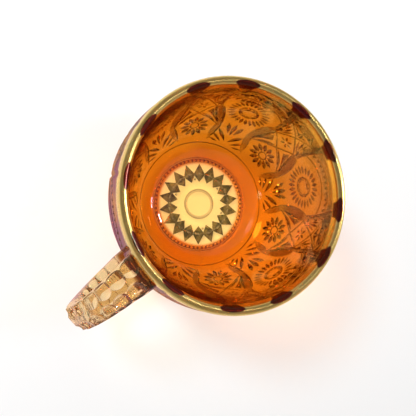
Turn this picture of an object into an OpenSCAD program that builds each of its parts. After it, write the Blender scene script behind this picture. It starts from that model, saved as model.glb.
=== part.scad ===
// Handled punch cup of pressed carnival glass, standing on its foot.
// +Z is up, the cup's axis is Z, the foot stands on z = 0 and the handle points along +X.

/* [Bowl] */
// Diameter over the lip
rim_d = 80; // [70:1:90]
// Diameter over the widest part of the wall
belly_d = 83; // [76:1:94]
// Height from the table to the top of the lip
cup_h = 56; // [48:1:68]
// Thickness of the wall at its widest part, relief included
wall_t = 6.1; // [4.5:0.1:7.5]
// Thickness of the lip
lip_t = 3.3; // [2.4:0.1:4.2]
// Height of the flat floor inside the cup
floor_h = 6.5; // [5.4:0.1:8]
// Radius of the flat floor inside the cup
floor_r = 17; // [14:0.5:18]

/* [Foot] */
// Diameter of the foot ring
foot_d = 42.4; // [40:0.2:46]
// Height of the foot ring
foot_h = 3.2; // [2.6:0.1:4]
// Depth of the hollow under the cup
hollow_h = 1.5; // [1.2:0.1:2]
// Width of the ring that touches the table
tread_w = 1; // [0.8:0.1:1.6]
// Number of beads around the hollow
beads = 66; // [36:6:72]
// Diameter of one bead
bead_d = 1.4; // [1:0.1:1.6]
// Number of rays in the star under the cup
base_rays = 18; // [12:6:24]

/* [Handle] */
// How far the handle stands out from the wall
handle_reach = 26.8; // [22:0.2:32]
// Height of the handle's loop
loop_h = 37; // [32:1:40]
// Thickness of the loop, seen from the side
loop_t = 6.2; // [5:0.1:7]
// Width of the handle at its bend
handle_w = 11; // [9:0.5:13]
// Width of the handle where it meets the wall
root_w = 14; // [13:0.5:16]
// Distance from the top of the lip down to the top of the handle
handle_drop = 7; // [5:0.5:9]
// Depth of one thumbprint
print_h = 2; // [1:0.1:2.2]
// Radius of one thumbprint
print_r = 4.2; // [3:0.1:4.6]

/* [Pattern] */
// Depth of the pressed pattern
relief = 1.2; // [0.8:0.1:1.6]
// Radius of the star in a medallion
star_r = 9.5; // [8:0.1:9.8]
// Points of the star in a medallion
star_points = 24; // [16:2:28]
// Radius of the star in a lower panel
low_star_r = 6.8; // [5.5:0.1:7]
// Radius of the star in an upper panel
up_star_r = 2.9; // [2:0.1:3.1]
// Points of the star in a lower or upper panel
small_points = 12; // [8:2:14]
// Teeth on one arch
arch_teeth = 11; // [7:2:13]

/* [Hidden] */

$fn = 96;
cols = 6;                      // the pattern repeats this many times round the wall
rim_r = rim_d / 2;
belly_r = belly_d / 2;
foot_r = foot_d / 2;
lip_r = lip_t / 2;
lip_z = cup_h - lip_r;         // centre height of the rounded lip
belly_z = 0.64 * cup_h;        // height of the widest part
inner_z = belly_z - 2;         // where the two inner curves meet

function mix4(p, t) = (1-t)^3*p[0] + 3*(1-t)^2*t*p[1] + 3*(1-t)*t^2*p[2] + t^3*p[3];
function curve(p, n, from = 0, to = 1) = [for (i = [0:n]) mix4(p, from + (to - from)*i/n)];
function flip(l) = [for (i = [len(l)-1:-1:0]) l[i]];
function tail(l) = [for (i = [1:len(l)-1]) l[i]];

// Outer face of the wall: foot to belly, then belly to lip. d is the depth below the raised pattern.
function low_out(d) = [[foot_r, foot_h], [foot_r + 0.655*(belly_r - foot_r) - 0.8*d, foot_h + 1.3 + 0.6*d],
    [belly_r - 1 - d, 0.55*belly_z], [belly_r - d, belly_z]];
function high_out(d) = [[belly_r - d, belly_z], [belly_r - d, belly_z + 0.33*(lip_z - belly_z)],
    [rim_r + 0.45 - 0.8*d, belly_z + 0.67*(lip_z - belly_z)], [rim_r, lip_z]];
// Inner face: floor to belly, then belly to lip.
inner_low = [[floor_r, floor_h], [floor_r + 0.625*(belly_r - wall_t - floor_r), floor_h],
    [belly_r - wall_t - 2.4, 0.58*inner_z], [belly_r - wall_t, inner_z]];
inner_high = [[belly_r - wall_t, inner_z], [belly_r - wall_t + 0.75, inner_z + 0.3*(lip_z - inner_z)],
    [rim_r - lip_t - 0.3, inner_z + 0.65*(lip_z - inner_z)], [rim_r - lip_t, lip_z]];

wall_face = concat(curve(low_out(0), 12), [for (i = [1:8]) mix4(high_out(0), i/8)]);
function run(l, i) = i == 0 ? 0 : run(l, i-1) + norm(l[i] - l[i-1]);
face_run = [for (i = [0:len(wall_face)-1]) run(wall_face, i)];
full_run = face_run[len(face_run)-1];
// Index of the stretch of the outer face that holds the arc length s.
function stretch(s) = max([for (i = [0:len(face_run)-2]) face_run[i] <= s ? i : 0]);
function face_dir(s) = let(i = stretch(s), d = wall_face[i+1] - wall_face[i]) d / norm(d);
function face_at(s) = let(i = stretch(s)) wall_face[i] + (s - face_run[i]) * face_dir(s);

// Heights of the pattern's pieces, as arc lengths up the outer face from the foot.
unit = full_run / 60;
fan_s = 10 * unit;             // where a fan springs from
low_s = 18.2 * unit;           // centre of a lower star
diamond_s = 35.5 * unit;       // centre of a star diamond
medal_s = 35 * unit;           // centre of a medallion's star
up_s = 52 * unit;              // centre of an upper star

// A frame on the wall's outer face: X runs round the cup, Y up the face, Z outwards.
module on_face(angle, s) {
    p = face_at(s);
    d = face_dir(s);
    rotate([0, 0, angle]) translate([p[0], 0, p[1]])
        multmatrix([[0, d[0], d[1], 0], [1, 0, 0, 0], [0, d[1], -d[0], 0], [0, 0, 0, 1]]) children();
}

module star_2d(r_out, r_in, points) {
    polygon([for (i = [0:2*points-1]) let(r = i % 2 == 0 ? r_out : r_in, a = 180*i/points)
        r * [sin(a), cos(a)]]);
}

module ring_2d(r_out, r_in) {
    difference() {
        circle(r_out);
        circle(r_in);
    }
}

// The relief starts low on the fans, as a share of the lower curve, and stops under the lip.
low_from = lookup(11.2 * unit, [for (i = [0:12]) [face_run[i], i/12]]);
high_to = 0.88;

// The outer face between those two places, at one depth under the top of the relief.
function face_line(d) = concat(curve(low_out(d), 9, low_from),
    [for (i = [1:6]) mix4(high_out(d), high_to*i/6)]);

// The layer between the wall and the top of the relief.
module relief_layer() {
    rotate_extrude() polygon(concat(face_line(0), flip(face_line(relief))));
}

// The wall's own outer line: plain at the foot and under the lip, sunk by the relief between.
wall_line = concat(curve(low_out(0), 3, 0, low_from), face_line(relief),
    [mix4(high_out(0), high_to), [rim_r, lip_z]]);

// Pressed relief: the children are drawn flat on the wall at each of the given angles.
module pressed(s, angles) {
    intersection() {
        relief_layer();
        for (a = angles) on_face(a, s) linear_extrude(height = 14, center = true) children();
    }
}

large_angles = [for (i = [0:cols-1]) 30 + 360*i/cols];
small_angles = [for (i = [0:cols-1]) 360*i/cols];
open_angles = [for (i = [1:cols-1]) 360*i/cols];      // the handle covers the first small column

// Half section of the whole wall, from the edge of the floor to the lip.
module wall_2d() {
    polygon(concat([[floor_r, foot_h]], wall_line, flip(curve(inner_high, 6)),
        tail(flip(curve(inner_low, 12)))));
}

split_z = 0.36 * cup_h;        // the wall is held as two rings that meet at this height
module lower_wall() {
    color("darkorange") rotate_extrude() intersection() {
        wall_2d();
        square([belly_r + 1, split_z]);
    }
}

module upper_wall() {
    color("orange") rotate_extrude() difference() {
        wall_2d();
        square([belly_r + 1, split_z]);
    }
}

module rim() {
    color("gold") rotate_extrude() intersection() {
        translate([rim_r - lip_r, lip_z]) circle(lip_r);
        translate([0, lip_z]) square([rim_r + 1, lip_t]);
    }
}

module base_disc() {
    color("khaki") rotate_extrude() polygon([[0, hollow_h], [foot_r - tread_w, hollow_h],
        [foot_r - tread_w, foot_h], [floor_r, foot_h], [floor_r, floor_h], [0, floor_h]]);
}

module foot_ring() {
    edge = 0.3;                // bevel on the inner edge of the tread
    color("orange") rotate_extrude() polygon([[foot_r - tread_w + edge, 0], [foot_r, 0], [foot_r, foot_h],
        [foot_r - tread_w, foot_h], [foot_r - tread_w, edge]]);
}

bead_r = bead_d / 2;
bead_ring_r = foot_r - tread_w - bead_r;
module foot_beads() {
    color("gold") intersection() {
        translate([0, 0, hollow_h - bead_d]) cylinder(r = foot_r, h = bead_d);
        for (i = [0:beads-1]) rotate([0, 0, 360*i/beads])
            translate([bead_ring_r, 0, hollow_h]) sphere(r = min(bead_r, 0.9*hollow_h), $fn = 24);
    }
}

hub_r = 6;
hub_w = 0.8;
ray_in_r = 10.4;
ray_out_r = bead_ring_r - bead_r - 1.4;
module base_star() {
    ray_half = 0.38 * 180 / base_rays;
    color("olive") translate([0, 0, 0.4*hollow_h]) linear_extrude(height = 0.6*hollow_h) {
        ring_2d(hub_r, hub_r - hub_w);
        for (i = [0:base_rays-1]) rotate(360*i/base_rays) polygon([[ray_in_r, 0],
            0.5*(ray_in_r + ray_out_r) * [cos(ray_half), sin(ray_half)], [ray_out_r, 0],
            0.5*(ray_in_r + ray_out_r) * [cos(ray_half), -sin(ray_half)]]);
    }
}

loop_r = loop_h / 2;
loop_x = belly_r + handle_reach - loop_r;
loop_z = cup_h - handle_drop - loop_r;
arm_tilt = 14;                 // the lower arm rises this many degrees towards the wall

// The handle's outline at one radius about the bend: a round end and two straight arms to the cup's axis.
module loop_outline_2d(r) {
    translate([loop_x, loop_z]) {
        circle(r);
        translate([-loop_x, 0]) square([loop_x, r]);
        rotate(-arm_tilt) translate([-loop_x, -r]) square([loop_x, r]);
    }
}

module loop_2d() {
    difference() {
        loop_outline_2d(loop_r);
        loop_outline_2d(loop_r - loop_t);
    }
}

// The handle seen from above: wide at the wall, narrower over the bend.
module plan_2d() {
    root_x = belly_r - 3;
    waist_x = belly_r + 0.38*handle_reach;
    end_x = belly_r + handle_reach;
    side = concat([[0, root_w/2]], [for (i = [0:6]) [root_x + (waist_x - root_x)*i/6,
        handle_w/2 + (root_w - handle_w)/2 * (1 + cos(180*i/6))/2]], [[end_x, 0.42*handle_w]]);
    polygon(concat(side, [for (p = flip(side)) [p[0], -p[1]]]));
}

module wall_core() {
    rotate_extrude() polygon(concat([[0, 0], [foot_r, 0]], wall_line, [[0, lip_z]]));
}

// Thumbprints run along the top arm and round the bend, in turn from the left and the right.
top_run = loop_x - belly_r;
print_pitch = 1.4 * print_r;   // along one edge
print_side = 0.37 * handle_w;  // from the middle of the handle
bend_run = PI * loop_r * (180 - arm_tilt) / 180;
prints = floor((top_run + bend_run) / print_pitch);
module thumbprints() {
    for (i = [0:2*prints-1]) {
        side = i % 2 == 0 ? 1 : -1;
        along = (i + 1) * print_pitch / 2 + 1.5;
        turn = max(0, (along - top_run) / loop_r * 180 / PI);
        slide = min(0, along - top_run);
        translate([loop_x + slide, 0, loop_z]) rotate([0, turn, 0])
            translate([0, side*print_side, loop_r + print_r - print_h])
                sphere(r = print_r, $fn = 32);
    }
}

module plain_loop() {
    intersection() {
        rotate([90, 0, 0]) linear_extrude(height = root_w + 2, center = true) loop_2d();
        translate([0, 0, -1]) linear_extrude(height = cup_h + 2) plan_2d();
    }
}

module handle() {
    color("peru") difference() {
        plain_loop();
        wall_core();
        thumbprints();
    }
}

// Pattern that stops where the handle joins the wall.
module clear_of_handle() {
    difference() {
        children();
        plain_loop();
    }
}

ring_groove = 0.9;
button_r = 0.36 * star_r;
arch_drop = 9.6 * unit;        // the arch's centre lies this far below the medallion's star
arch_r = 21.5 * unit;

// A closed outline from its right half, which is drawn from the top down.
module mirrored_2d(half) {
    polygon(concat(half, [for (p = flip(half)) [-p[0], p[1]]]));
}

module medallions() {
    w = 1.295 * star_r;
    color("orange") pressed(medal_s, large_angles) difference() {
        intersection() {
            translate([0, -arch_drop]) circle(arch_r);
            mirrored_2d([[0.9*w, 14*unit], [0.9*w, 8.5*unit], [w, 3*unit], [0.8*w, -3*unit],
                [0.66*w, -7.5*unit], [0.57*w, -11*unit], [0.54*w, -medal_foot]]);
        }
        star_2d(star_r, 0.8*star_r, star_points);
    }
}

module medallion_buttons() {
    color("gold") pressed(medal_s, large_angles) {
        circle(button_r);
        ring_2d(0.66*star_r, button_r + ring_groove);
    }
}

panel_r = 9.6 * unit;          // a lower panel is a round shield about a centre just over its star
panel_rise = 0.6 * unit;
module lower_star_panels() {
    w = 1.33 * low_star_r;
    color("orange") pressed(low_s, open_angles) {
        difference() {
            intersection() {
                translate([0, panel_rise]) circle(panel_r);
                mirrored_2d([[0.02*w, 9.6*unit], [w, 2.4*unit], [w, -9*unit]]);
            }
            star_2d(low_star_r, 0.66*low_star_r, small_points);
        }
        circle(0.22*low_star_r);
    }
}

diamond_w = 0.12 * belly_r;     // half width of a star diamond
shield_w = 1.2 * diamond_w;    // half width of an upper panel
module upper_star_panels() {
    color("orange") pressed(up_s, open_angles) {
        difference() {
            mirrored_2d([[0.58*shield_w, 4*unit], [shield_w, -2.8*unit], [0.02*shield_w, -8.5*unit]]);
            star_2d(up_star_r, 0.66*up_star_r, small_points);
        }
        circle(0.3*up_star_r);
    }
}

module star_diamonds() {
    color("orange") clear_of_handle() pressed(diamond_s, small_angles) difference() {
        polygon([[0, 6.4*unit], [diamond_w, 0], [0, -6.4*unit], [-diamond_w, 0]]);
        star_2d(0.6*diamond_w, 0.24*diamond_w, 6);
    }
}

// Flat triangles that fill the corners above and below each diamond.
module facets() {
    facet_w = 1.2 * diamond_w;
    color("darkorange") {
        clear_of_handle() pressed(diamond_s, small_angles) for (side = [-1, 1]) scale([side, 1])
            polygon([[facet_w, -2.2*unit], [1.4*facet_w, -11.5*unit], [0.24*facet_w, -7.6*unit]]);
        pressed(diamond_s, open_angles) for (side = [-1, 1]) scale([side, 1])
            polygon([[facet_w, 2.2*unit], [facet_w, 11*unit], [0.24*facet_w, 7.6*unit]]);
    }
}

fan_turns = [-74, -55, -37, -13, 0, 13, 37, 55, 74];          // degrees from straight up
fan_reach = [0.98, 1.02, 1.02, 1, 1, 1, 1.02, 1.02, 0.98];    // leaf by leaf, as a share of fan_r
medal_foot = 14.5 * unit;      // from a medallion's star down to its foot
fan_gap = 1.4 * unit;          // clearance between a fan and the foot above it
fan_r = medal_s - medal_foot - fan_gap - fan_s;
// Half the room between two lower panels at the lowest leaves, which the fan's half width fills.
side_s = fan_s + fan_r*cos(fan_turns[8]);
fan_room = PI/cols * face_at(side_s)[0] - sqrt(panel_r^2 - (low_s + panel_rise - side_s)^2) - 0.5;
leaf_half = 0.068 * fan_r;
module fan_sprays() {
    color("gold") pressed(fan_s, large_angles) scale([fan_room/(fan_r*sin(fan_turns[8])), 1])
        for (i = [0:len(fan_turns)-1]) let(r = fan_reach[i]*fan_r) rotate(-fan_turns[i])
            polygon([[0, 0.18*r], [leaf_half, 0.7*r], [0, r], [-leaf_half, 0.7*r]]);
}

module sawtooth_arches() {
    inner_r = arch_r + 1.1 * unit;
    outer_r = inner_r + 2 * unit;
    tooth = 1.3 * unit;
    half = 27;                 // half the angle that the arch spans about its own centre
    step = 2 * half / arch_teeth;
    color("orange") pressed(medal_s, large_angles) translate([0, -arch_drop]) polygon(concat(
        [for (i = [0:16]) let(a = -half + 2*half*i/16) inner_r * [sin(a), cos(a)]],
        [for (i = [arch_teeth:-1:1]) each [outer_r * [sin(-half + step*i), cos(-half + step*i)],
            (outer_r + tooth) * [sin(-half + step*(i - 0.5)), cos(-half + step*(i - 0.5))]]],
        [outer_r * [sin(-half), cos(-half)]]));
}

lower_wall();
upper_wall();
rim();
base_disc();
foot_ring();
foot_beads();
base_star();
handle();
medallions();
medallion_buttons();
lower_star_panels();
upper_star_panels();
star_diamonds();
facets();
fan_sprays();
sawtooth_arches();
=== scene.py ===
# %% [markdown]
# A handled punch cup of pressed carnival glass.
# A hot gob of soda-lime glass is dropped in an iron mould and squeezed by a plunger. The plunger leaves the
# inside smooth, and the mould leaves stars, fans and teeth on the outside. While the cup is still hot it is
# sprayed with metal salts, which dry to a film thinner than a wavelength of light: that is the marigold
# colour and the rainbow sheen. The lesson makes the cup in this order: section, cuts, tile, wrap, handle,
# union, glass, light and camera.

# %% Load the frame
import math

import bpy
import numpy as np
from mathutils import Matrix, Vector, kdtree
from mathutils.geometry import delaunay_2d_cdt

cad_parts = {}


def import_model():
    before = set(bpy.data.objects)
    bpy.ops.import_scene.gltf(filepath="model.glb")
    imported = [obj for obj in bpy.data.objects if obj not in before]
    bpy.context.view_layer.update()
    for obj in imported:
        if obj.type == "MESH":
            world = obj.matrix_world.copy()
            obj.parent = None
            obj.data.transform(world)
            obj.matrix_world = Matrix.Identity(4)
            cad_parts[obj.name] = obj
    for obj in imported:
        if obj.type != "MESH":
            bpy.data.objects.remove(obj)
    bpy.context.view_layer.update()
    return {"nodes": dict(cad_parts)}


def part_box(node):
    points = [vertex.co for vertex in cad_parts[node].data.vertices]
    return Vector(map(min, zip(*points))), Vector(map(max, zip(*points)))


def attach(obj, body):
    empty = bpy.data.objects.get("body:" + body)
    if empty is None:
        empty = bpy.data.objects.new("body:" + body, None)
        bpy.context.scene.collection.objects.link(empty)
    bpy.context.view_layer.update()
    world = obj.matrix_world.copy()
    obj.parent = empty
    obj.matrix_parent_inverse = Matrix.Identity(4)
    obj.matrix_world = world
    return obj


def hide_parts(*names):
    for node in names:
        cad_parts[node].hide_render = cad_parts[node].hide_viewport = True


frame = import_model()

MM = 0.001
scene = bpy.context.scene

# %% [markdown]
# Sizes come first. Every one that the frame knows is read from a node's box, so the looks follow the frame if
# its sizes change. Work is done in millimetres, because a glassworker thinks in them, and turned to metres at
# the end.

# %% Read the main sizes
def box_mm(node):
    low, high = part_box(node)
    return low / MM, high / MM


rim_low, rim_high = box_mm("rim")
foot_low, foot_high = box_mm("foot_ring")
base_low, base_high = box_mm("base_disc")
handle_low, handle_high = box_mm("handle")
rim_r, cup_h, lip_z = rim_high.y, rim_high.z, rim_low.z
lip_r = cup_h - lip_z
belly_r = box_mm("medallions")[1].y
foot_r, foot_h = foot_high.y, foot_high.z
hollow_h, floor_h = base_low.z, base_high.z
tread_w = foot_r - base_high.y
wall_t = 6.1                   # wall at its widest part, pattern included
floor_r = 17.0                 # flat part of the floor
belly_z = 0.64 * cup_h
inner_z = belly_z - 2.0
print("rim", round(rim_r, 2), "belly", round(belly_r, 2), "foot", round(foot_r, 2), "height", round(cup_h, 2))

# %% [markdown]
# The section. The cup is a body of revolution before it is cut, so one closed line from the middle of the
# underside, over the foot, up the outside, over the lip and down the inside to the middle of the floor says
# its whole shape. It could be spun at once, but the cuts have to be put on it first, so it is kept as a line
# along which a distance can be measured: s is 0 at the foot's edge and grows up the outside.

# %% Draw the section
def bezier(p, n):
    p, t = np.array(p, float), np.linspace(0, 1, n + 1)[:, None]
    return (1 - t) ** 3 * p[0] + 3 * (1 - t) ** 2 * t * p[1] + 3 * (1 - t) * t * t * p[2] + t**3 * p[3]


rise = lip_z - belly_z
outer_low = bezier([(foot_r, foot_h), (foot_r + 0.655 * (belly_r - foot_r), foot_h + 1.3),
                    (belly_r - 1, 0.55 * belly_z), (belly_r, belly_z)], 60)
outer_high = bezier([(belly_r, belly_z), (belly_r, belly_z + 0.33 * rise),
                     (rim_r + 0.45, belly_z + 0.67 * rise), (rim_r, lip_z)], 30)
inner_low = bezier([(floor_r, floor_h), (floor_r + 0.625 * (belly_r - wall_t - floor_r), floor_h),
                    (belly_r - wall_t - 2.4, 0.58 * inner_z), (belly_r - wall_t, inner_z)], 30)
inner_rise = lip_z - inner_z
inner_high = bezier([(belly_r - wall_t, inner_z), (belly_r - wall_t + 0.75, inner_z + 0.3 * inner_rise),
                     (rim_r - 2 * lip_r - 0.3, inner_z + 0.65 * inner_rise), (rim_r - 2 * lip_r, lip_z)], 16)
edge = 0.3                     # rounding of the foot's corners
under = np.array([(0, hollow_h), (foot_r - tread_w, hollow_h), (foot_r - tread_w, edge),
                  (foot_r - tread_w + edge, 0), (foot_r - edge, 0), (foot_r - 0.3 * edge, 0.3 * edge),
                  (foot_r, edge)])
lip = np.array([(rim_r - lip_r + lip_r * math.cos(a), lip_z + lip_r * math.sin(a))
                for a in np.linspace(0, math.pi, 17)])
floor_line = np.array([(r, floor_h) for r in np.linspace(floor_r, 0, 9)])
section = np.concatenate([under, outer_low, outer_high[1:], lip[1:], inner_high[::-1][1:],
                          inner_low[::-1][1:], floor_line[1:]])
run = np.concatenate([[0], np.cumsum(np.linalg.norm(np.diff(section, axis=0), axis=1))])
foot_at = len(under)           # the section's point at the foot's edge, where s is 0
start_s = run[foot_at]
along = run - start_s
lip_at = foot_at + len(outer_low) + len(outer_high) - 2
print("section points:", len(section), "outer face:", round(along[lip_at], 2), "mm")


def radius(s):
    """Radius in mm of the uncut cup at the distance s along its section."""
    return np.interp(s, along, section[:, 0])


# %% [markdown]
# The cuts. The mould's iron was cut with wheels and punches, so every mark is one of four kinds: a mitre is a
# V groove that gets deeper where it gets wider, a flute has a round bottom, a facet is a flat-sided hollow,
# and a dome is a round button. Each is written as a line or outline on the unrolled wall, in degrees round
# the cup and millimetres up it, with half widths. Where cuts cross, the deeper one wins. The pattern is the
# same every 60 degrees and mirrors about the middle of its medallion, so half of it is written.

# %% Helpers that record cuts
SPAN = 60.0                    # degrees in one repeat of the pattern
HALF = SPAN / 2
DEG = math.pi / 180


def spot(centre, r, clock):
    """The point r mm from a centre on the wall, at a clock angle in degrees from straight up."""
    s = centre[1] + r * math.cos(clock * DEG)
    return centre[0] + r * math.sin(clock * DEG) / (DEG * float(radius(s))), s


def record(cuts, points, half, shape="mitre", steep=0.85, cap=1.15, mirror=True, closed=False):
    points = np.array(points, float)
    half = np.broadcast_to(np.array(half, float), len(points))
    for side in (1, -1) if mirror else (1,):
        for turn in (-SPAN, 0, SPAN):
            copy = points * (side, 1) + (turn, 0)
            if copy[:, 0].min() < HALF + 1 and copy[:, 0].max() > -HALF - 1:
                cuts.append(dict(points=copy, half=half, shape=shape, steep=steep, cap=cap, closed=closed))


def leaf(cuts, start, end, half, peak=0.5, **more):
    """A mitre that starts and ends in a point and is widest at peak."""
    t = np.linspace(0, 1, 9)
    swell = np.where(t < peak, np.sin(0.5 * np.pi * t / peak), np.cos(0.5 * np.pi * (t - peak) / (1 - peak)))
    start, end = np.array(start), np.array(end)
    record(cuts, start + t[:, None] * (end - start), half * np.maximum(swell, 0), **more)


def burst(cuts, centre, r_in, r_out, points, half, first=0.0, **more):
    """A ring of leaves that point at a centre: a star."""
    for i in range(points):
        clock = first + 360 * i / points
        leaf(cuts, spot(centre, r_in, clock), spot(centre, r_out, clock), half, mirror=False, **more)


def ring(cuts, centre, r, half, **more):
    record(cuts, [spot(centre, r, 10 * i) for i in range(36)], half, closed=True, mirror=False, **more)


# %% Record the cuts of the wall
wall = []
medallion, low_star, diamond, high_star = (0, 35), (30, 18.2), (30, 35.5), (30, 52.8)
flutes = [[(19.3, 36.3, 1.2), (18.2, 33.5, 2.2), (16.5, 30, 2.6), (14.6, 26, 2.4), (12.9, 22.5, 1.8),
           (12.3, 20, 1.5), (13.2, 17, 1.7), (14.6, 14, 1.5), (15.8, 11, 0.8), (17, 9.8, 0.2)],
          [(19.3, 36.6, 1.2), (20, 40, 1.5), (19.6, 44, 1.5), (19, 48, 1.4), (18.4, 52, 1.5),
           (17.6, 56, 1.6), (17.3, 58.3, 1.1), (17.2, 59.6, 0.2)]]
for flute in flutes:
    flute = np.array(flute)
    record(wall, flute[:, :2], flute[:, 2], shape="flute", steep=0.52)
arch = [(-17.5, 43.3), (-14, 45.2), (-9, 46.9), (-4, 47.6), (0, 47.8), (4, 47.6), (9, 46.9), (14, 45.2),
        (17.5, 43.3)]
record(wall, arch, 0.55, mirror=False, cap=0.6)
tooth_arc = [(-17, 49.3), (-12, 51.2), (-6, 52.3), (0, 52.6), (6, 52.3), (12, 51.2), (17, 49.3)]
record(wall, tooth_arc, 0.4, mirror=False)
TEETH, tooth_pitch, tooth_wide, tooth_tall = 11, 3.15, 1.9, 2.4
for i in range(TEETH):
    turn = (i - (TEETH - 1) / 2) * tooth_pitch
    top = np.interp(turn, [p[0] for p in tooth_arc], [p[1] for p in tooth_arc]) - 0.45
    wide = tooth_wide / 2 / (DEG * radius(top))
    record(wall, [(turn, top - tooth_tall), (turn + wide, top), (turn - wide, top)], 0, shape="facet",
           mirror=False, steep=1.0, cap=0.8)
leaf(wall, (0, 14.8), (0, 23.3), 1.15, peak=0.62, mirror=False)
leaf(wall, (2.1, 15.6), (5.6, 22.9), 1.05, peak=0.62)
leaf(wall, (1.0, 10.6), (10.6, 17.6), 1.0, peak=0.6)
leaf(wall, (4.6, 9.8), (13.3, 14.2), 0.75, peak=0.6)
leaf(wall, (7, 9.3), (15.5, 10.9), 0.55)
burst(wall, medallion, 5.6, 9.8, 24, 0.85)
ring(wall, medallion, 4.0, 0.6, cap=0.7)
record(wall, [medallion, (0, 38.4)], 3.4, shape="dome", mirror=False, steep=0.5)
burst(wall, low_star, 2.3, 6.9, 12, 1.15)
burst(wall, (-30, low_star[1]), 2.3, 6.9, 12, 1.15)
for side in (-30, 30):
    ring(wall, (side, low_star[1]), 1.95, 0.4)
    burst(wall, (side, diamond[1]), 0.6, 3.4, 6, 0.6, first=30)
    burst(wall, (side, high_star[1]), 1.1, 3.1, 10, 0.5)
    ring(wall, (side, high_star[1]), 0.9, 0.3)
mitres = [[(30, 28.2), (14.0, 20.3)], [(30, 28.2), (21.5, 35.0)], [(21.5, 35.6), (30, 42.9)],
          [(30, 43.2), (22, 48.8)], [(22, 49.5), (28.4, 57.6)]]
for line in mitres:
    record(wall, line, 0.45)
record(wall, [(21.8, 33.2), (16.0, 22.6), (24.5, 29.6)], 0, shape="facet", steep=0.8, cap=0.9)
leaf(wall, (16.2, 21.9), (28.3, 28.6), 0.9)
for end, half in (((22.6, 46.8), 0.6), ((25, 46), 0.7), ((27.4, 43.9), 0.6)):
    leaf(wall, (21.8, 37), end, half)
record(wall, [(29.7, 44.6), (29.7, 49), (23.4, 49)], 0, shape="facet", steep=0.5, cap=0.5)
record(wall, [(-31, 7.4), (31, 7.4)], 0.3, mirror=False)
print("cuts on one repeat of the wall:", len(wall))

# %% [markdown]
# Under the cup is a star of eighteen kite-shaped hollows, a ring round its hub and a ring of small beads by
# the tread. The underside is flat, so its cuts are drawn in plain millimetres from the axis, at radius and
# angle, and a 60 degree slice holds three kites and eleven beads.

# %% Record the cuts of the underside
KITES, BEADS = 3, 11           # in one repeat
bead_r = 0.7
bead_ring_r = foot_r - tread_w - bead_r - 0.1
centre_s = along[0]            # s at the middle of the underside, where the radius is 0


def under_point(r, turn):
    return turn, centre_s + r


base = []
for i in range(KITES):
    turn = (i - (KITES - 1) / 2) * SPAN / KITES
    wide = math.atan2(2.75, 13.5) / DEG
    record(base, [under_point(9.7, turn), under_point(13.3, turn - wide), under_point(18.0, turn),
                  under_point(13.3, turn + wide)], 0, shape="facet", steep=0.42, cap=1.2, mirror=False)
for i in range(-2, 2):
    turn = (i + 0.5) * SPAN / KITES
    record(base, [under_point(10.9, turn), under_point(10.9, turn + 1.0)], 0.5, shape="dome", steep=-0.3,
           mirror=False)
for i in range(BEADS):
    turn = (i - (BEADS - 1) / 2) * SPAN / BEADS
    record(base, [under_point(bead_ring_r, turn), under_point(bead_ring_r + 0.1, turn)], bead_r, shape="bead",
           mirror=False)
record(base, [under_point(6.0, a) for a in np.arange(-31, 31.5, 2.0)], 0.7, steep=0.27, cap=0.4, mirror=False)
print("cuts on one repeat of the underside:", len(base))

# %% [markdown]
# Heights and creases. A grid bent down at the cuts would blur them, because their edges fall between its
# points. Here the outline and the bottom line of every cut go into a Delaunay triangulation as edges that it
# must keep, with loose points between them, so each crease is an edge of the mesh and stays crisp.

# %% Measure how deep the cuts are at any point
def flat_wall(anchor, turn, s):
    """Degrees and s to local millimetres about an anchor angle."""
    return np.stack([(turn - anchor) * DEG * radius(s), s], -1)


def flat_base(anchor, turn, s):
    r = s - centre_s
    return np.stack([r * np.cos(turn * DEG), r * np.sin(turn * DEG)], -1)


def depth_of(cut, flat, turn, s):
    anchor = cut["points"][:, 0].mean()
    p = flat(anchor, turn, s)
    q = flat(anchor, cut["points"][:, 0], cut["points"][:, 1])
    if cut["shape"] == "facet":
        nearest = np.full(len(p), 1e9)
        area = sum(np.cross(q[i] - q[0], q[(i + 1) % len(q)] - q[0]) for i in range(1, len(q)))
        for a, b in zip(q, np.roll(q, -1, axis=0)):
            d = (b - a) / np.linalg.norm(b - a)
            nearest = np.minimum(nearest, np.sign(area) * (d[0] * (p[:, 1] - a[1]) - d[1] * (p[:, 0] - a[0])))
        return -np.minimum(cut["cap"], cut["steep"] * np.maximum(nearest, 0))
    if cut["shape"] in ("dome", "bead"):
        r = np.linalg.norm(p - q[0], axis=1) / cut["half"][0]
        if cut["shape"] == "bead":
            return cut["half"][0] * np.sqrt(np.maximum(1 - r * r, 0))
        if cut["steep"] < 0:
            return np.where(r < 1, cut["steep"] * (1 - r * r), 0)
        return np.where(r < 1, -cut["steep"] * r * r, 0)
    ends = list(zip(range(len(q)), range(1, len(q)))) + ([(len(q) - 1, 0)] if cut["closed"] else [])
    depth = np.zeros(len(p))
    for i, j in ends:
        d = q[j] - q[i]
        t = np.clip(((p - q[i]) @ d) / max(d @ d, 1e-9), 0, 1)
        away = np.linalg.norm(p - q[i] - t[:, None] * d, axis=1)
        half = cut["half"][i] + t * (cut["half"][j] - cut["half"][i])
        if cut["shape"] == "flute":
            depth = np.maximum(depth, cut["steep"] * half * (1 - (away / np.maximum(half, 1e-6)) ** 2))
        else:
            depth = np.maximum(depth, cut["steep"] * (half - away))
    return -np.minimum(depth, cut["cap"])


def height(cuts, flat, turn, s):
    deepest, raised = np.zeros(len(turn)), np.zeros(len(turn))
    for cut in cuts:
        h = depth_of(cut, flat, turn, s)
        deepest, raised = np.minimum(deepest, h), np.maximum(raised, h)
    return deepest + raised


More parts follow.
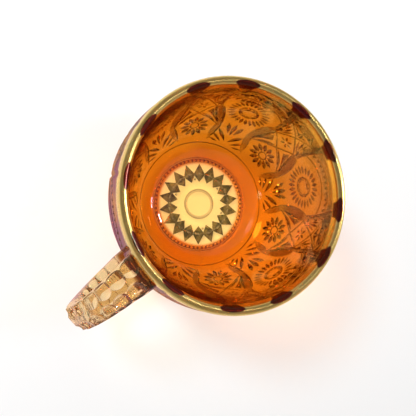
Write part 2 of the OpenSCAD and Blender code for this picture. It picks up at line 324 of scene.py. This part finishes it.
# %% Turn the cuts into lines that the mesh must keep
def creases(cut, flat, unflat):
    """Outline and bottom line of a cut, as lists of (degrees, s)."""
    anchor = cut["points"][:, 0].mean()
    q = flat(anchor, cut["points"][:, 0], cut["points"][:, 1])
    if cut["shape"] == "facet":
        sides = np.array([np.linalg.norm(np.roll(q, -i - 1, axis=0)[0] - np.roll(q, 1 - i, axis=0)[0])
                          for i in range(len(q))])
        middle = (q * sides[:, None]).sum(0) / sides.sum()
        lines = [np.concatenate([q, q[:1]])] + [np.array([c, middle]) for c in q]
    elif cut["shape"] in ("dome", "bead"):
        n = 12 if cut["half"][0] < 1 else 36
        a = np.linspace(0, 2 * np.pi, n + 1)
        lines = [q[0] + cut["half"][0] * np.stack([np.cos(a), np.sin(a)], 1)]
        if cut["shape"] == "bead":
            lines.append(q[0] + 0.6 * cut["half"][0] * np.stack([np.cos(a), np.sin(a)], 1))
    else:
        ahead, behind = np.roll(q, -1, axis=0), np.roll(q, 1, axis=0)
        if not cut["closed"]:
            ahead[-1], behind[0] = q[-1], q[0]
        d = ahead - behind
        d /= np.linalg.norm(d, axis=1)[:, None]
        off = np.stack([-d[:, 1], d[:, 0]], 1) * cut["half"][:, None]
        lines = [q, q + off, q - off]
        if cut["closed"]:
            lines = [np.concatenate([line, line[:1]]) for line in lines]
    return [unflat(anchor, line) for line in lines]


def unflat_wall(anchor, q):
    return np.stack([anchor + q[:, 0] / (DEG * radius(q[:, 1])), q[:, 1]], -1)


def unflat_base(anchor, q):
    return np.stack([np.degrees(np.arctan2(q[:, 1], q[:, 0])), centre_s + np.linalg.norm(q, axis=1)], -1)


# %% Triangulate a zone of the tile
STEP = 1.5                     # degrees between the columns of the plain zones
columns = np.arange(-HALF, HALF + STEP / 2, STEP)
MESH = 0.8                     # longest edge along a crease, in mm
ROW = 0.866                    # rows of even triangles are this share of an edge apart


def split(line, longest):
    pieces = []
    for a, b in zip(line[:-1], line[1:]):
        n = max(1, math.ceil(np.linalg.norm(b - a) / longest))
        pieces += [a + (b - a) * i / n for i in range(n)]
    return np.array(pieces + [line[-1]])


def cut_zone(cuts, flat, unflat, to_plane, from_plane, low, high):
    """Vertices (degrees, s, height) and triangles of one repeat, between two distances along the section."""
    sides = np.linspace(low, high, round((high - low) / MESH) + 1)
    borders = [np.stack([columns, np.full(len(columns), end)], 1) for end in (low, high)]
    borders += [np.stack([np.full(len(sides), end), sides], 1) for end in (-HALF, HALF)]
    lines = [to_plane(b) for b in borders]
    lines += [split(to_plane(line), MESH) for cut in cuts for line in creases(cut, flat, unflat)]
    points, edges = [], []
    for line in lines:
        edges += [(len(points) + i, len(points) + i + 1) for i in range(len(line) - 1)]
        points += [tuple(p) for p in line]
    tree = kdtree.KDTree(sum(2 * len(line) for line in lines))
    n = 0
    for line in lines:
        for p in np.concatenate([line, 0.5 * (line[1:] + line[:-1])]):
            tree.insert((p[0], p[1], 0), n)
            n += 1
    tree.balance()
    corner = np.concatenate(lines[:4])
    gx = np.arange(corner[:, 0].min(), corner[:, 0].max(), MESH)
    gy = np.arange(corner[:, 1].min(), corner[:, 1].max(), ROW * MESH)
    for j, y in enumerate(gy):
        for x in gx + (j % 2) * MESH / 2:
            turn, s = from_plane(np.array([[x, y]]))[0]
            if abs(turn) < HALF and low < s < high and tree.find((x, y, 0))[2] > 0.5 * MESH:
                points.append((x, y))
    found, _, faces, *_ = delaunay_2d_cdt([Vector(p) for p in points], edges, [], 0, 1e-5)
    place = from_plane(np.array([tuple(p) for p in found]))
    triangles = []
    for face in faces:
        a, b, c = place[face[0]], place[face[1]], place[face[2]]
        middle = from_plane(np.array([[sum(found[i][k] for i in face) / 3 for k in (0, 1)]]))[0]
        if abs(middle[0]) > HALF or not low - 1e-4 < middle[1] < high + 1e-4:
            continue
        area = (b[0] - a[0]) * (c[1] - a[1]) - (b[1] - a[1]) * (c[0] - a[0])
        triangles.append(tuple(face) if area > 0 else tuple(face)[::-1])
    h = height(cuts, flat, place[:, 0], place[:, 1])
    border = (np.abs(place[:, 1] - low) < 1e-3) | (np.abs(place[:, 1] - high) < 1e-3)
    return np.column_stack([place, np.where(border, 0, h)]), triangles


def plain_zone(rows):
    verts = np.array([(turn, s, 0) for s in rows for turn in columns])
    w = len(columns)
    faces = [(j * w + i, j * w + i + 1, (j + 1) * w + i + 1, (j + 1) * w + i)
             for j in range(len(rows) - 1) for i in range(w - 1)]
    return verts, faces


# %% Put the zones of one repeat together
LEAN = 0.66                    # mm in one degree on the unrolled wall, about halfway up
star_low, star_high = centre_s + 4.6, along[1]
wall_low, wall_high = 6.6, along[lip_at + 4]
zones = [
    plain_zone([centre_s, centre_s + 1.5, centre_s + 3, star_low]),
    cut_zone(base, flat_base, unflat_base, lambda q: flat_base(0, q[:, 0], q[:, 1]),
             lambda q: unflat_base(0, q), star_low, star_high),
    plain_zone([*along[1:foot_at + 1], *np.linspace(0, wall_low, 8)[1:]]),
    cut_zone(wall, flat_wall, unflat_wall, lambda q: q * (LEAN, 1), lambda q: q / (LEAN, 1),
             wall_low, wall_high),
    plain_zone(list(along[lip_at + 4:])),
]
tile_verts, tile_faces, n = [], [], 0
for verts, faces in zones:
    tile_verts.append(verts)
    tile_faces += [tuple(i + n for i in face) for face in faces]
    n += len(verts)
tile_verts = np.concatenate(tile_verts) * (DEG, MM, MM)
tile = bpy.data.objects.new("tile", bpy.data.meshes.new("tile"))
tile.data.from_pydata([tuple(v) for v in tile_verts], [], tile_faces)
scene.collection.objects.link(tile)
print("one repeat:", len(tile_verts), "vertices,", len(tile_faces), "faces")

# %% [markdown]
# Wrapping. The flat tile holds the angle in x, the distance along the section in y and the height in z. A
# Geometry Nodes tree bends it: it looks up the section at y, steps off it by the height, and turns the result
# by x about the axis. Then it repeats the tile round the cup and welds the seams. A lattice or a curve
# modifier could bend it too, but only the tree knows the section exactly.

# %% Helpers for node trees
def node(tree, kind, *links, **settings):
    """Adds a node. Settings are its properties or inputs, links are (input, socket) pairs."""
    made = tree.nodes.new(kind)
    for name, value in settings.items():
        if hasattr(made, name):
            setattr(made, name, value)
        else:
            made.inputs[name].default_value = value
    for target, source in links:
        tree.links.new(source, made.inputs[target])
    return made


def new_tree(name, inputs):
    tree = bpy.data.node_groups.new(name, "GeometryNodeTree")
    tree.interface.new_socket("Geometry", in_out="INPUT", socket_type="NodeSocketGeometry")
    tree.interface.new_socket("Geometry", in_out="OUTPUT", socket_type="NodeSocketGeometry")
    for label, kind in inputs.items():
        tree.interface.new_socket(label, in_out="INPUT", socket_type="NodeSocket" + kind)
    return tree, tree.nodes.new("NodeGroupInput"), tree.nodes.new("NodeGroupOutput")


def run_tree(obj, tree, **values):
    """Runs a tree on an object, with its named inputs, and returns the result as a plain mesh."""
    modifier = obj.modifiers.new(tree.name, "NODES")
    modifier.node_group = tree
    for item in tree.interface.items_tree:
        if item.in_out == "INPUT" and item.name in values:
            modifier[item.identifier] = values[item.name]
    bpy.context.view_layer.update()
    made = bpy.data.meshes.new_from_object(obj.evaluated_get(bpy.context.evaluated_depsgraph_get()))
    obj.modifiers.remove(modifier)
    return made


def path_object(name, points):
    """A poly curve through points in metres, for a tree to follow."""
    curve = bpy.data.curves.new(name, "CURVE")
    curve.dimensions = "3D"
    spline = curve.splines.new("POLY")
    spline.points.add(len(points) - 1)
    for p, q in zip(spline.points, points):
        p.co = (*q, 1)
    obj = bpy.data.objects.new(name, curve)
    scene.collection.objects.link(obj)
    return obj


# %% Build the wrapping tree
wrap, into, out = new_tree("wrap_round_cup", {"Section": "Object", "Start": "Float", "Repeats": "Int",
                                              "Weld": "Float", "Glass": "Material"})
place = node(wrap, "ShaderNodeSeparateXYZ", (0, node(wrap, "GeometryNodeInputPosition").outputs[0]))
curve = node(wrap, "GeometryNodeObjectInfo", ("Object", into.outputs["Section"]))
length = node(wrap, "ShaderNodeMath", (0, place.outputs["Y"]), (1, into.outputs["Start"]))
at = node(wrap, "GeometryNodeSampleCurve", ("Curves", curve.outputs["Geometry"]), ("Length", length.outputs[0]),
          mode="LENGTH")
way = node(wrap, "ShaderNodeSeparateXYZ", (0, at.outputs["Tangent"]))
flip = node(wrap, "ShaderNodeMath", (0, way.outputs["X"]), operation="MULTIPLY")
flip.inputs[1].default_value = -1
out_way = node(wrap, "ShaderNodeCombineXYZ", ("X", way.outputs["Z"]), ("Z", flip.outputs[0]))
step = node(wrap, "ShaderNodeVectorMath", (0, out_way.outputs[0]), ("Scale", place.outputs["Z"]),
            operation="SCALE")
lifted = node(wrap, "ShaderNodeVectorMath", (0, at.outputs["Position"]), (1, step.outputs[0]))
turned = node(wrap, "ShaderNodeVectorRotate", ("Vector", lifted.outputs[0]), ("Angle", place.outputs["X"]),
              rotation_type="Z_AXIS")
bent = node(wrap, "GeometryNodeSetPosition", ("Geometry", into.outputs["Geometry"]),
            ("Position", turned.outputs[0]))
spokes = node(wrap, "GeometryNodeMeshLine", ("Count", into.outputs["Repeats"]))
share = node(wrap, "ShaderNodeMath", (1, into.outputs["Repeats"]), operation="DIVIDE")
share.inputs[0].default_value = 2 * math.pi
angle = node(wrap, "ShaderNodeMath", (0, node(wrap, "GeometryNodeInputIndex").outputs[0]), (1, share.outputs[0]),
             operation="MULTIPLY")
half_turn = node(wrap, "ShaderNodeMath", (0, share.outputs[0]), operation="MULTIPLY_ADD")
half_turn.inputs[1].default_value = 0.5
wrap.links.new(angle.outputs[0], half_turn.inputs[2])
spin = node(wrap, "ShaderNodeCombineXYZ", ("Z", half_turn.outputs[0]))
spokes.inputs["Offset"].default_value = (0, 0, 0)
copies = node(wrap, "GeometryNodeInstanceOnPoints", ("Points", spokes.outputs[0]), ("Instance", bent.outputs[0]),
              ("Rotation", spin.outputs[0]))
real = node(wrap, "GeometryNodeRealizeInstances", (0, copies.outputs[0]))
welded = node(wrap, "GeometryNodeMergeByDistance", (0, real.outputs[0]), ("Distance", into.outputs["Weld"]))
glazed = node(wrap, "GeometryNodeSetMaterial", (0, welded.outputs[0]), ("Material", into.outputs["Glass"]))
wrap.links.new(glazed.outputs[0], out.inputs[0])

# %% Wrap the tile
glass = bpy.data.materials.new("pressed_soda_lime_glass_marigold_spray")
section_path = path_object("section", [(r * MM, 0, z * MM) for r, z in section])
cup_mesh = run_tree(tile, wrap, Section=section_path, Start=start_s * MM, Repeats=6, Weld=2e-6, Glass=glass)
for helper in (tile, section_path):
    bpy.data.objects.remove(helper)
cup = bpy.data.objects.new("punch_cup", cup_mesh)
scene.collection.objects.link(cup)


def open_edges(mesh):
    """How many edges don't join exactly two faces: none in a closed skin."""
    uses = {}
    for polygon in mesh.polygons:
        for key in polygon.edge_keys:
            uses[key] = uses.get(key, 0) + 1
    return sum(1 for n in uses.values() if n != 2)


print("cup:", len(cup_mesh.vertices), "vertices,", len(cup_mesh.polygons), "faces, open edges:",
      open_edges(cup_mesh))

# %% [markdown]
# The handle. It is pressed in the same mould as the wall and its outer face has a row of thumbprints, in turn
# from the left and the right, so that it looks like a twisted rope. It is lofted from rounded sections along
# a D-shaped line, wide where it meets the wall and slimmer over the bend. The thumbprints are balls that a
# Geometry Nodes tree sets along the outer line, and a Boolean takes them away.

# %% Loft the handle
loop_t = 6.2                   # thickness of the loop, seen from the side
arm_tilt = 14                  # degrees that the lower arm rises towards the wall
loop_top, loop_out = handle_high.z, handle_high.x
loop_r = (handle_high.z - handle_low.z) / 2
loop_x, loop_z = loop_out - loop_r, loop_top - loop_r


def loop_line(r, back_top, back_low):
    """The loop at one radius about its bend, from the upper root to the lower root, as x and z in mm."""
    top = [(x, loop_z + r) for x in np.arange(back_top, loop_x, 0.8)]
    bend = [(loop_x + r * math.cos(a), loop_z + r * math.sin(a))
            for a in np.radians(np.arange(90, -90 - arm_tilt - 0.1, -4))]
    x, z = bend[-1]
    low = [(x - d * math.cos(arm_tilt * DEG), z + d * math.sin(arm_tilt * DEG))
           for d in np.arange(0.8, (x - back_low) / math.cos(arm_tilt * DEG), 0.8)]
    return np.array(top + bend + low)


root_top, root_low = 38.2, 34.6        # where the two arms end inside the wall
middle = loop_line(loop_r - loop_t / 2, root_top, root_low)
ahead = np.gradient(middle, axis=0)
ahead /= np.linalg.norm(ahead, axis=1)[:, None]
outward = np.stack([-ahead[:, 1], ahead[:, 0]], 1)
# Half the width in mm, from the wall out to the bend.
width_at = np.interp(middle[:, 0], [40, 44, 48, 54, 60, 69], [7.0, 6.7, 6.1, 5.5, 5.0, 4.6])
ROUND = 40                     # points round one section
ring_a = np.linspace(0, 2 * np.pi, ROUND, endpoint=False)
power = 2 / 3.6                # a squarish section with rounded corners
side_w, out_w = (np.sign(f(ring_a)) * np.abs(f(ring_a)) ** power for f in (np.cos, np.sin))
loft = [(m[0] + o[0] * q * loop_t / 2, w * p, m[1] + o[1] * q * loop_t / 2)
        for m, o, w in zip(middle, outward, width_at) for p, q in zip(side_w, out_w)]
rows = len(middle)
skin = [(j * ROUND + i, j * ROUND + (i + 1) % ROUND, (j + 1) * ROUND + (i + 1) % ROUND, (j + 1) * ROUND + i)
        for j in range(rows - 1) for i in range(ROUND)]
skin += [tuple(range(ROUND))[::-1], tuple(range((rows - 1) * ROUND, rows * ROUND))]
handle = bpy.data.objects.new("handle_blank", bpy.data.meshes.new("handle_blank"))
handle.data.from_pydata([tuple(c * MM for c in v) for v in loft], [], skin)
scene.collection.objects.link(handle)
volume = sum((handle.data.vertices[p.vertices[0]].co.dot(p.normal)) * p.area for p in handle.data.polygons)
if volume < 0:
    handle.data.flip_normals()
print("handle blank:", len(loft), "points, open edges:", open_edges(handle.data))

# %% Build the thumbprint tree
prints, into, out = new_tree("thumbprints", {"Line": "Object", "Pitch": "Float", "Aside": "Float",
                                             "Radius": "Float", "Glass": "Material"})
line = node(prints, "GeometryNodeObjectInfo", ("Object", into.outputs["Line"]))
dots = node(prints, "GeometryNodeCurveToPoints", ("Curve", line.outputs["Geometry"]),
            ("Length", into.outputs["Pitch"]), mode="LENGTH")
index = node(prints, "GeometryNodeInputIndex")
odd = node(prints, "ShaderNodeMath", (0, index.outputs[0]), operation="MODULO")
odd.inputs[1].default_value = 2
sign = node(prints, "ShaderNodeMath", (0, odd.outputs[0]), operation="MULTIPLY_ADD")
sign.inputs[1].default_value, sign.inputs[2].default_value = 2, -1
aside = node(prints, "ShaderNodeMath", (0, sign.outputs[0]), (1, into.outputs["Aside"]), operation="MULTIPLY")
shift = node(prints, "ShaderNodeCombineXYZ", ("Y", aside.outputs[0]))
moved = node(prints, "GeometryNodeSetPosition", ("Geometry", dots.outputs["Points"]),
             ("Offset", shift.outputs[0]))
ball = node(prints, "GeometryNodeMeshIcoSphere", ("Radius", into.outputs["Radius"]), Subdivisions=4)
balls = node(prints, "GeometryNodeInstanceOnPoints", ("Points", moved.outputs[0]), ("Instance", ball.outputs[0]))
real = node(prints, "GeometryNodeRealizeInstances", (0, balls.outputs[0]))
glazed = node(prints, "GeometryNodeSetMaterial", (0, real.outputs[0]), ("Material", into.outputs["Glass"]))
prints.links.new(glazed.outputs[0], out.inputs[0])

# %% Press the thumbprints
print_r, print_h = 4.2, 2.0    # a ball, and how deep it goes in
print_pitch, print_side = 0.7 * print_r, 4.07
outer_line = loop_line(loop_r + print_r - print_h, 42.5, 42.0)
line_path = path_object("outer_line", [(x * MM, 0, z * MM) for x, z in outer_line])
dummy = bpy.data.objects.new("thumb_balls", bpy.data.meshes.new("thumb_balls"))
scene.collection.objects.link(dummy)
balls_mesh = run_tree(dummy, prints, Line=line_path, Pitch=print_pitch * MM, Aside=print_side * MM,
                      Radius=print_r * MM, Glass=glass)
thumb = bpy.data.objects.new("thumbs", balls_mesh)
scene.collection.objects.link(thumb)


def boolean(obj, other, operation, **settings):
    """Joins or cuts with another object, and returns the result as a plain mesh."""
    modifier = obj.modifiers.new(operation, "BOOLEAN")
    modifier.object, modifier.operation = other, operation
    for name, value in settings.items():
        setattr(modifier, name, value)
    bpy.context.view_layer.update()
    made = bpy.data.meshes.new_from_object(obj.evaluated_get(bpy.context.evaluated_depsgraph_get()))
    obj.modifiers.remove(modifier)
    return made


handle.data = boolean(handle, thumb, "DIFFERENCE", solver="EXACT", use_self=True)
print("handle:", len(handle.data.vertices), "points, open edges:", open_edges(handle.data))

# %% Join the handle and the cup in one skin
for helper in (line_path, dummy, thumb):
    bpy.data.objects.remove(helper)
cup.data = boolean(cup, handle, "UNION", solver="MANIFOLD")
bpy.data.objects.remove(handle)
cup.data.materials.clear()
cup.data.materials.append(glass)
cup.data.shade_smooth()
cup.data.set_sharp_from_angle(angle=math.radians(24))
print("punch cup:", len(cup.data.vertices), "points,", len(cup.data.polygons), "faces, open edges:",
      open_edges(cup.data))

# %% [markdown]
# Painted shade in the cuts. The hollows and the steep sides of the cuts are painted darker than the plain glass,
# as painted shade, so the pattern reads darker. The shade is worked out from the shape itself: how far a point
# lies under the uncut section, and how far a face leans away from it. It is kept on the mesh as an attribute, so
# that the material can read it from any side.

# %% Work out the painted shade of the cuts
dense = np.concatenate([a + (b - a) * np.linspace(0, 1, 12, endpoint=False)[:, None]
                        for a, b in zip(section[:-1], section[1:])])
way = np.repeat(np.diff(section, axis=0), 12, axis=0)
way /= np.linalg.norm(way, axis=1)[:, None]
skin_tree = kdtree.KDTree(len(dense))
for i, (r, z) in enumerate(dense):
    skin_tree.insert((r, z, 0), i)
skin_tree.balance()


def under_section(points):
    """For points in metres: depth in mm under the uncut section, and the section's outward direction."""
    r, z = np.hypot(points[:, 0], points[:, 1]) / MM, points[:, 2] / MM
    near = np.array([skin_tree.find((a, b, 0))[1] for a, b in zip(r, z)])
    out_way = np.stack([way[near][:, 1], -way[near][:, 0]], 1)
    depth = -((np.stack([r, z], 1) - dense[near]) * out_way).sum(1)
    x, y = points[:, 0] / MM / np.maximum(r, 1e-6), points[:, 1] / MM / np.maximum(r, 1e-6)
    return depth, np.stack([out_way[:, 0] * x, out_way[:, 0] * y, out_way[:, 1]], 1)


SHADE_DEEP = 1.1               # mm under the section where the painted shade is darkest
SHADE_LEAN = 0.3               # lean where the painted shade is darkest, as 1 - cosine
BASE_LEAN = 0.1                # the same on the flat underside, where gentler slopes get the full painted shade
NEAR = 1.4                     # mm: points further off belong to the handle


def add_painted_cut_shade(mesh):
    """Puts the painted shade of the cuts on the corners of a mesh, as an attribute from 0 to 1."""
    points = np.zeros(len(mesh.vertices) * 3)
    mesh.vertices.foreach_get("co", points)
    middles, normals = np.zeros(len(mesh.polygons) * 3), np.zeros(len(mesh.polygons) * 3)
    mesh.polygons.foreach_get("center", middles)
    mesh.polygons.foreach_get("normal", normals)
    depth = under_section(points.reshape(-1, 3))[0]
    depth = np.where(np.abs(depth) < NEAR, np.clip(depth / SHADE_DEEP, 0, 1), 0)
    face_depth, level = under_section(middles.reshape(-1, 3))
    middles = middles.reshape(-1, 3) / MM
    far, low = np.hypot(middles[:, 0], middles[:, 1]), middles[:, 2]
    beneath = low < foot_h
    tilt = 1 - (level * normals.reshape(-1, 3)).sum(1)
    tilt = np.clip(tilt / np.where(beneath, BASE_LEAN, SHADE_LEAN), 0, 1)
    tilt = np.where((np.abs(face_depth) > 0.02) & (face_depth < NEAR), tilt, 0)
    # Painted shade between the beads: the beads are left clear and the gaps between them are painted dark.
    in_ring = (np.abs(far - bead_ring_r) < 0.75 * bead_r) & beneath
    tilt = np.where(in_ring, np.where(low < hollow_h - 0.01, 0.0, 0.9), tilt)
    corners, totals = np.zeros(len(mesh.loops), int), np.zeros(len(mesh.polygons), int)
    mesh.loops.foreach_get("vertex_index", corners)
    mesh.polygons.foreach_get("loop_total", totals)
    tilt = np.repeat(tilt, totals)
    painted_cut_shade = np.where(np.repeat(beneath, totals), tilt, 0.6 * depth[corners] + 0.4 * tilt)
    mesh.attributes.new("painted_cut_shade", "FLOAT", "CORNER").data.foreach_set("value", painted_cut_shade.astype(np.float32))
    return painted_cut_shade


painted_cut_shade = add_painted_cut_shade(cup.data)
print("film: mean", round(float(painted_cut_shade.mean()), 3), "thickest", round(float(painted_cut_shade.max()), 3))

# %% [markdown]
# The glass. Soda-lime glass is clear, so the colour is in the spray: marigold on the wall, almost none on the
# flat underside and little on the handle. A glass shader colours what passes it, once on the way in and once on
# the way out, so the colour of the spray is given to the whole skin and changes from place to place. The sheen
# is two things. A film a few hundred nanometres thick on the clear glass gives the faint rainbow, and where the
# metal is thicker it reflects by itself: pink and bronze on the outside, pale gold on the lip. A painted
# picture would be simpler, but it couldn't follow the cuts.

# %% Helpers for the glass
def linear(code):
    """sRGB hex colour to linear values."""
    parts = [int(code[i:i + 2], 16) / 255 for i in (1, 3, 5)]
    return (*[c / 12.92 if c <= 0.04045 else ((c + 0.055) / 1.055) ** 2.4 for c in parts], 1)


glass.use_nodes = True
tree = glass.node_tree
tree.nodes.clear()


def feed(made, sockets, values):
    """Gives each socket a link or a plain value."""
    for socket, value in zip(sockets, values):
        if isinstance(value, bpy.types.NodeSocket):
            tree.links.new(value, made.inputs[socket])
        else:
            made.inputs[socket].default_value = value
    return made


def ramp(value, low, high, start=0.0, end=1.0):
    """Goes smoothly from start to end while the value goes from low to high."""
    made = node(tree, "ShaderNodeMapRange", interpolation_type="SMOOTHSTEP")
    sockets = ("Value", "From Min", "From Max", "To Min", "To Max")
    return feed(made, sockets, (value, low, high, start, end)).outputs[0]


def blend(factor, a, b):
    return feed(node(tree, "ShaderNodeMix", data_type="RGBA"), (0, 6, 7), (factor, a, b)).outputs[2]


def sums(operation, *values):
    return feed(node(tree, "ShaderNodeMath", operation=operation), range(len(values)), values).outputs[0]


def noise(scale, detail):
    """A soft cloud. Its patches are about 1 / scale metres across."""
    return node(tree, "ShaderNodeTexNoise", ("Vector", where), Scale=scale, Detail=detail).outputs["Fac"]


def coat(share, under, colour, roughness):
    """Lays a share of reflecting metal over the shader under it."""
    metal = node(tree, "ShaderNodeBsdfGlossy", ("Color", colour), Roughness=roughness)
    return node(tree, "ShaderNodeMixShader", (0, share), (1, under), (2, metal.outputs[0])).outputs[0]


# %% Find the regions of the glass, in metres from the axis and above the table
where = node(tree, "ShaderNodeTexCoord").outputs["Object"]
xyz = node(tree, "ShaderNodeSeparateXYZ", (0, where))
rise_m = xyz.outputs["Z"]
flat = node(tree, "ShaderNodeCombineXYZ", ("X", xyz.outputs["X"]), ("Y", xyz.outputs["Y"]))
from_axis = node(tree, "ShaderNodeVectorMath", (0, flat.outputs[0]), operation="LENGTH").outputs["Value"]
cut_shade_fac = node(tree, "ShaderNodeAttribute", attribute_name="painted_cut_shade").outputs["Fac"]
edge_on = node(tree, "ShaderNodeLayerWeight", Blend=0.5).outputs["Facing"]
in_base = sums("MULTIPLY", ramp(from_axis, 0.0172, 0.0188, 1.0, 0.0), ramp(rise_m, 0.0068, 0.0085, 1.0, 0.0))
handle_root = ramp(from_axis, 0.0414, 0.0436)
on_handle = ramp(from_axis, 0.0425, 0.046)
lip_band = ramp(rise_m, 0.0515, 0.0530)
on_wall = sums("MULTIPLY", ramp(from_axis, 0.0215, 0.0262), ramp(from_axis, 0.0425, 0.050, 1.0, 0.0))
outside = sums("MULTIPLY", on_wall, ramp(rise_m, 0.050, 0.053, 1.0, 0.0))

# %% Colour the spray and paint the shade of the cuts
amber = blend(noise(45.0, 3.0), linear("#DE8416"), linear("#C86A0C"))
# Painted shade: the cuts on the wall turn dark brown where they are deep or steep.
amber = blend(ramp(cut_shade_fac, 0.03, 0.6), amber, linear("#5A2203"))
# Painted shade on the underside: the flanks of the kites and the gaps between the beads turn dark olive, while
# the flats stay pale.
olive = blend(ramp(noise(420.0, 1.0), 0.42, 0.6), linear("#1C1504"), linear("#4C3C14"))
pale = blend(ramp(cut_shade_fac, 0.05, 0.5), linear("#F7E3A0"), olive)
body = blend(in_base, amber, pale)
body = blend(handle_root, body, linear("#F4DAA6"))

# Painted light and shade on the lip: it is painted pale gold for the light that the wall carries up to it, and a
# dark red lens is painted as shade wherever a flute runs up under it.
LENS_TURN, LENS_WIDE = 16.4, 6.8       # degrees from a medallion's middle, and half the length
LENS_R, LENS_DEEP = 0.0375, 0.0011     # metres from the axis, and half the width
turns = node(tree, "ShaderNodeTexGradient", ("Vector", flat.outputs[0]), gradient_type="RADIAL").outputs["Fac"]
from_column = sums("ABSOLUTE", sums("SUBTRACT", sums("FRACT", sums("MULTIPLY", turns, 360 / SPAN)), 0.5))
along_lens = sums("DIVIDE", sums("SUBTRACT", from_column, LENS_TURN / SPAN), LENS_WIDE / SPAN)
across_lens = sums("DIVIDE", sums("SUBTRACT", from_axis, LENS_R), LENS_DEEP)
reach = sums("ADD", sums("MULTIPLY", along_lens, along_lens), sums("MULTIPLY", across_lens, across_lens))
lens = sums("MULTIPLY", ramp(reach, 0.85, 1.1, 1.0, 0.0), lip_band)
# Painted light: the lip turns pale gold, then the lenses are painted dark red as shade.
body = blend(lip_band, body, linear("#FBCB66"))
body = blend(lens, body, linear("#4A1008"))

# %% Mix the glass and its coats
film_nm = feed(node(tree, "ShaderNodeMapRange"), ("Value", "From Min", "From Max", "To Min", "To Max"),
               (noise(28.0, 2.0), 0.3, 0.7, 380.0, 560.0)).outputs[0]
shader = node(tree, "ShaderNodeBsdfPrincipled", ("Base Color", body), ("Thin Film Thickness", film_nm))
feed(shader, ("Transmission Weight", "IOR", "Roughness", "Thin Film IOR"), (1.0, 1.44, 0.03, 1.56))
patches = ramp(noise(60.0, 2.0), 0.4, 0.62)
coated = coat(sums("MULTIPLY", ramp(edge_on, 0.60, 0.90, 0.0, 0.85), outside), shader.outputs[0],
              blend(patches, linear("#85345A"), linear("#B8762E")), 0.16)
coated = coat(sums("MULTIPLY", on_handle, ramp(edge_on, 0.25, 0.8, 0.06, 0.55)), coated,
              blend(patches, linear("#C88A9A"), linear("#F4C878")), 0.12)
# The painted shade of the lenses also darkens the lip's gold reflection.
coated = coat(sums("MULTIPLY", lip_band, 0.66), coated, blend(lens, linear("#FFDD84"), linear("#6A1C12")), 0.24)
# Lamps shine through the glass, or its shadow would be black.
see_through = node(tree, "ShaderNodeBsdfTransparent", ("Color", blend(0.84, body, (0.91, 0.90, 0.90, 1))))
to_lamp = node(tree, "ShaderNodeLightPath").outputs["Is Shadow Ray"]
mix = node(tree, "ShaderNodeMixShader", (0, to_lamp), (1, coated), (2, see_through.outputs[0]))
tree.links.new(mix.outputs[0], node(tree, "ShaderNodeOutputMaterial").inputs["Surface"])
print("nodes in the glass:", len(tree.nodes))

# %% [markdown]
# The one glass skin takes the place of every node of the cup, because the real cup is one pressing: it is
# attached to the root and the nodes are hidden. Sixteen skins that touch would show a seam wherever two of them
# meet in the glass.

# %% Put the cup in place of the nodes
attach(cup, "root")
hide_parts(*sorted(frame["nodes"]))

# %% [markdown]
# The floor is plain white card, so the amber of the glass can be read against it and the light that falls
# through the cup shows on it.

# %% Lay the floor
floor_mesh = bpy.data.meshes.new("floor")
floor_mesh.from_pydata([(-3, -3, 0), (3, -3, 0), (3, 3, 0), (-3, 3, 0)], [], [(0, 1, 2, 3)])
floor = bpy.data.objects.new("floor", floor_mesh)
scene.collection.objects.link(floor)
card = bpy.data.materials.new("matt_white_card")
card.use_nodes = True
paper = card.node_tree.nodes["Principled BSDF"]
paper.inputs["Base Color"].default_value = (0.86, 0.86, 0.86, 1)      # the share of light card gives back
paper.inputs["Roughness"].default_value = 0.9
floor.data.materials.append(card)

# %% [markdown]
# The light. Glass shows mostly what surrounds it, so the studio is a white tent, bright at the horizon and
# dimmer overhead, which gives the lip its light and dark lines. The key lamp is large and soft and leaves no
# reflection of its own. Two small lamps are there for their sparkle on the floor of the cup and the handle.

# %% Light the studio
world = bpy.data.worlds.new("studio")
scene.world = world
world.use_nodes = True
sky = world.node_tree
sky.nodes.clear()
up = node(sky, "ShaderNodeSeparateXYZ", (0, node(sky, "ShaderNodeTexCoord").outputs["Generated"])).outputs["Z"]
dim = node(sky, "ShaderNodeMapRange", ("Value", up))
for name, number in (("From Min", 0.05), ("From Max", 0.7), ("To Min", 0.85), ("To Max", 0.3)):
    dim.inputs[name].default_value = number
back = node(sky, "ShaderNodeBackground", ("Strength", dim.outputs[0]))
sky.links.new(back.outputs[0], node(sky, "ShaderNodeOutputWorld").inputs["Surface"])


def soft_light(name, place, size, power, glint=True):
    data = bpy.data.lights.new(name, "AREA")
    data.shape, data.size, data.energy = "DISK", size, power
    lamp = bpy.data.objects.new(name, data)
    lamp.location = place
    lamp.rotation_euler = (Vector((0, 0, 0.03)) - Vector(place)).to_track_quat("-Z", "Y").to_euler()
    lamp.visible_glossy = glint
    scene.collection.objects.link(lamp)


soft_light("key", (0.12, -0.50, 0.55), 0.2, 5.2, glint=False)
soft_light("glint", (-0.45, 0.30, 0.42), 0.12, 1.4)
soft_light("spark", (-0.204, 0.088, 0.468), 0.014, 0.15)

# %% [markdown]
# The camera looks into the cup from above, a little to one side, from 150 mm over the lip, as one looks into a
# cup held in the hand. Glass needs many bounces, because a ray may cross the wall, the foot and the handle.

# %% Set the camera
tilt, lean, turn = math.radians(16.7), math.radians(10.6), math.radians(218.7)
tilt_axis = Vector((-math.sin(lean), math.cos(lean), 0))
view_turn = Matrix.Rotation(-turn, 3, "Z") @ Matrix.Rotation(tilt, 3, tilt_axis).transposed()
shift_mm = Vector((10.9, 4.6, -150.0))
camera = bpy.data.objects.new("camera", bpy.data.cameras.new("camera"))
camera.data.lens, camera.data.sensor_width, camera.data.clip_start = 39.4, 36.0, 0.01
eye = (view_turn @ -shift_mm + Vector((0, 0, cup_h))) * MM
camera.matrix_world = Matrix.Translation(eye) @ view_turn.to_4x4()
camera.data.dof.use_dof = False
scene.collection.objects.link(camera)
scene.camera = camera
scene.view_settings.view_transform = "Standard"
scene.cycles.max_bounces = scene.cycles.transmission_bounces = 24
print("camera at", [round(c, 4) for c in camera.location])
